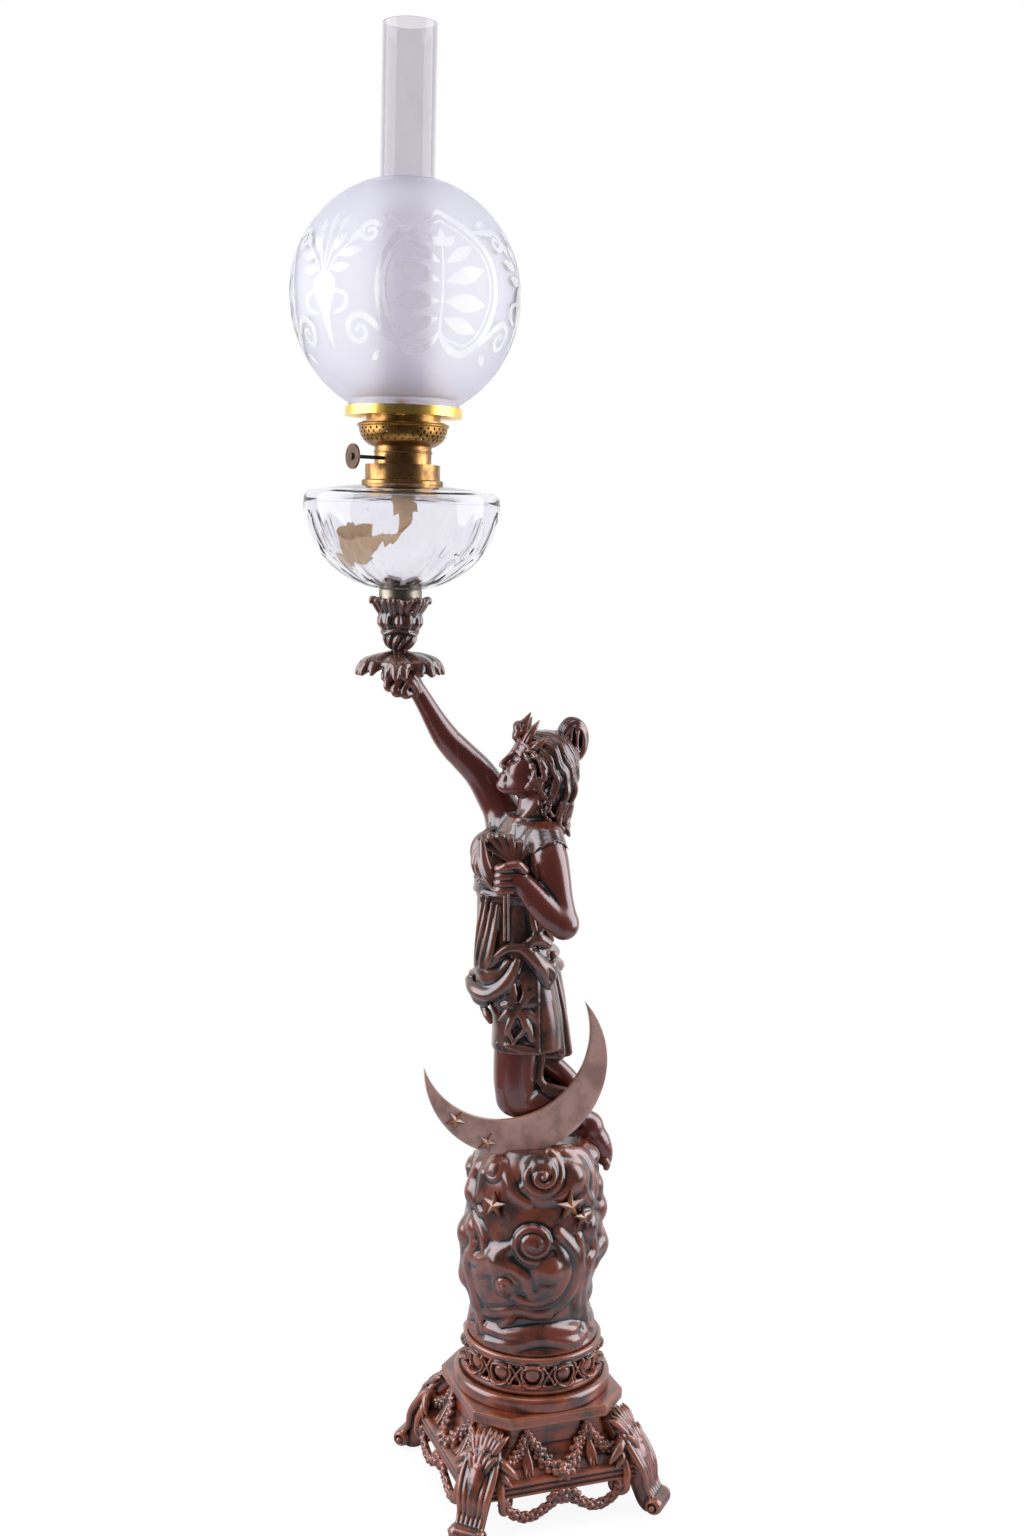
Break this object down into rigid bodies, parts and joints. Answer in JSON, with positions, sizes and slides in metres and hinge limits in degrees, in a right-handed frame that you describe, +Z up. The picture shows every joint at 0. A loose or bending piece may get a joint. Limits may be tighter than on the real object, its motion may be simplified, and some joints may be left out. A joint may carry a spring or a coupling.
{
  "type": "figural table lamp",
  "caption": "Figural oil lamp: a kneeling torch bearer on a crescent and cloud column holds up a glass font, burner, ball globe and chimney over a footed base.",
  "frame": {"origin": "on the ground under the middle of the base, between the four feet", "axes": "+Z up, +X to the viewer's right, -Y towards the viewer"},
  "size_m": [0.3744, 0.2688, 1.3382],
  "materials": {
    "patinated_spelter": "cast zinc with a red-brown bronzed patina, rubbed to copper on the high edges",
    "moon_bronze": "grey-brown bronzed plate with worn copper edges",
    "star_copper": "copper-coloured bronzing",
    "rod_steel": "plain steel",
    "clear_glass": "clear blown and cut glass",
    "frosted_glass": "acid-frosted glass with a clear etched floral band",
    "peg_metal": "dull grey-brown threaded peg",
    "burner_brass": "aged brown-gold brass",
    "ring_gilt": "polished bright brass",
    "spindle_steel": "blackened steel",
    "key_bronze": "brown bronzed brass",
    "wick_cotton": "woven cotton, oil-stained peach"
  },
  "bodies": {
    "stand": {"base_shell": "patinated_spelter", "base_frame": "patinated_spelter", "foot_back_right": "patinated_spelter", "foot_back_left": "patinated_spelter", "foot_front_left": "patinated_spelter", "foot_front_right": "patinated_spelter", "base_swags": "patinated_spelter", "apron_garlands": "patinated_spelter", "octagon_slab": "patinated_spelter", "plinth_flange": "patinated_spelter", "pierced_band": "patinated_spelter", "tie_rod": "rod_steel", "tie_bar": "rod_steel", "tie_nuts": "rod_steel", "tie_washer": "rod_steel", "cloud_column": "patinated_spelter", "crescent_moon": "moon_bronze", "stars": "star_copper", "near_leg": "patinated_spelter", "far_leg": "patinated_spelter", "skirt": "patinated_spelter", "hip_drape": "patinated_spelter", "torso": "patinated_spelter", "belt": "patinated_spelter", "head": "patinated_spelter", "hair": "patinated_spelter", "hair_bun": "patinated_spelter", "tiara": "patinated_spelter", "raised_arm": "patinated_spelter", "bent_arm": "patinated_spelter", "drip_pan": "patinated_spelter", "lamp_cup": "patinated_spelter", "font_peg": "peg_metal", "font": "clear_glass", "font_collar": "burner_brass"},
    "burner": {"burner_body": "burner_brass", "burner_basket": "burner_brass", "gallery": "burner_brass", "shade_ring": "ring_gilt", "flame_deflector": "burner_brass", "wick_tube": "burner_brass"},
    "wick_key": {"key_spindle": "spindle_steel", "wick_sprockets": "burner_brass", "key_disc": "key_bronze"},
    "wick": {"wick": "wick_cotton"},
    "chimney": {"chimney": "clear_glass"},
    "globe": {"globe": "frosted_glass"}
  },
  "joints": [
    {"name": "burner_turn", "type": "hinge", "parent": "stand", "child": "burner", "pos_m": [-0.138, 0, 0.954], "axis": [0, 0, 1], "range_deg": [0, 30]},
    {"name": "key_turn", "type": "hinge", "parent": "burner", "child": "wick_key", "pos_m": [-0.1548, -0.0201, 0.9666], "axis": [0.8, 0.6, 0], "range_deg": [0, 115]},
    {"name": "wick_raise", "type": "slide", "parent": "burner", "child": "wick", "axis": [0, 0, 1], "range_m": [0, 0.01]},
    {"name": "chimney_lift", "type": "slide", "parent": "burner", "child": "chimney", "axis": [0, 0, 1], "range_m": [0, 0.15]},
    {"name": "globe_lift", "type": "slide", "parent": "burner", "child": "globe", "axis": [0, 0, 1], "range_m": [0, 0.12]}
  ],
  "couplings": [
    {"joint": "wick_raise", "follows": "key_turn", "m_per_rad": 0.0049}
  ]
}
